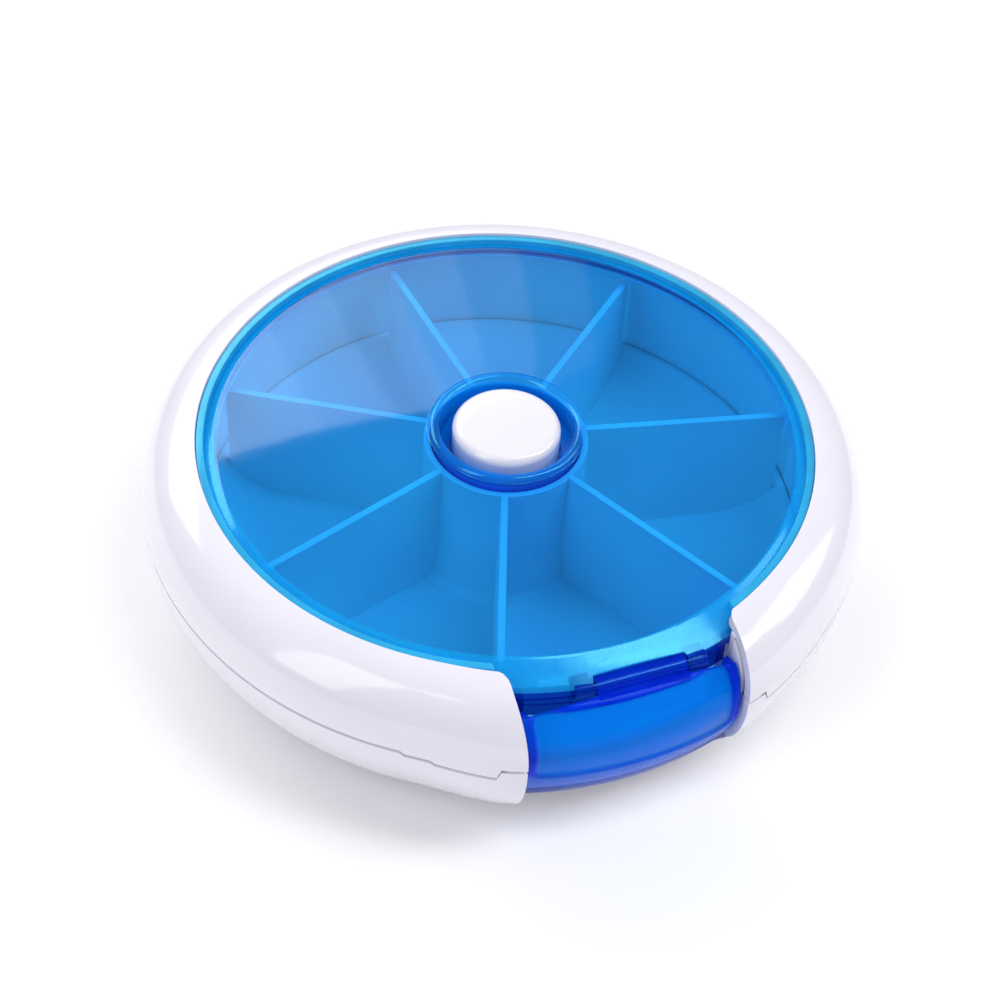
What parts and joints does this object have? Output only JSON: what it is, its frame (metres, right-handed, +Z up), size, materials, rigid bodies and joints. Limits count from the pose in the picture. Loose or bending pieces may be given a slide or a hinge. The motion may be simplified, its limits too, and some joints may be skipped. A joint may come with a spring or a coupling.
{
  "type": "pill organizer",
  "caption": "Round white push-button pill organizer with a clear blue cover, a hinged dispensing door and a turning tray of wedge-shaped compartments.",
  "frame": {"origin": "centre of the underside, on the table plane, on the axis of the button and tray", "axes": "+Z up through the button; -Y points to the dispensing door; +X to the right of someone facing the door"},
  "size_m": [0.09, 0.0892, 0.0242],
  "materials": {
    "casing_lower": "moulded ABS, satin gloss",
    "casing_upper": "moulded ABS, gloss",
    "cover_clear": "clear blue tinted acrylic, polished",
    "door_clear": "clear blue tinted acrylic, polished",
    "pin_steel": "drawn steel wire",
    "tray": "moulded polypropylene, satin",
    "washer": "acetal, matt",
    "index_spring": "acetal, matt",
    "drive": "acetal, matt",
    "retaining_ring": "moulded ABS, satin",
    "plunger": "acetal, satin",
    "button": "moulded ABS, gloss",
    "spring_steel": "music wire"
  },
  "bodies": {
    "casing": {"base_shell": "casing_lower", "upper_shell": "casing_upper", "cover": "cover_clear", "door_hinge_pin": "pin_steel", "bearing_washer": "washer", "index_spring": "index_spring", "return_spring": "spring_steel"},
    "door": {"door": "door_clear"},
    "rotor": {"drive_rotor": "drive"},
    "tray": {"tray": "tray", "rotor_retaining_ring": "retaining_ring"},
    "button": {"button_cap": "button", "plunger": "plunger"}
  },
  "joints": [
    {"name": "door_swing", "type": "hinge", "parent": "casing", "child": "door", "pos_m": [0, -0.0386, 0.01995], "axis": [-1, 0, 0], "range_deg": [0, 95]},
    {"name": "button_press", "type": "slide", "parent": "casing", "child": "button", "axis": [0, 0, -1], "range_m": [0, 0.003], "stiffness_N_per_m": 250, "springref_m": -0.002, "deforming": ["return_spring"]},
    {"name": "rotor_turn", "type": "hinge", "parent": "casing", "child": "rotor", "pos_m": [0, 0, 0], "axis": [0, 0, 1], "range_deg": [0, 51.43]},
    {"name": "tray_index", "type": "hinge", "parent": "rotor", "child": "tray", "pos_m": [0, 0, 0], "axis": [0, 0, 1], "continuous": true}
  ],
  "couplings": [
    {"joint": "rotor_turn", "follows": "button_press", "rad_per_m": 299.2}
  ]
}
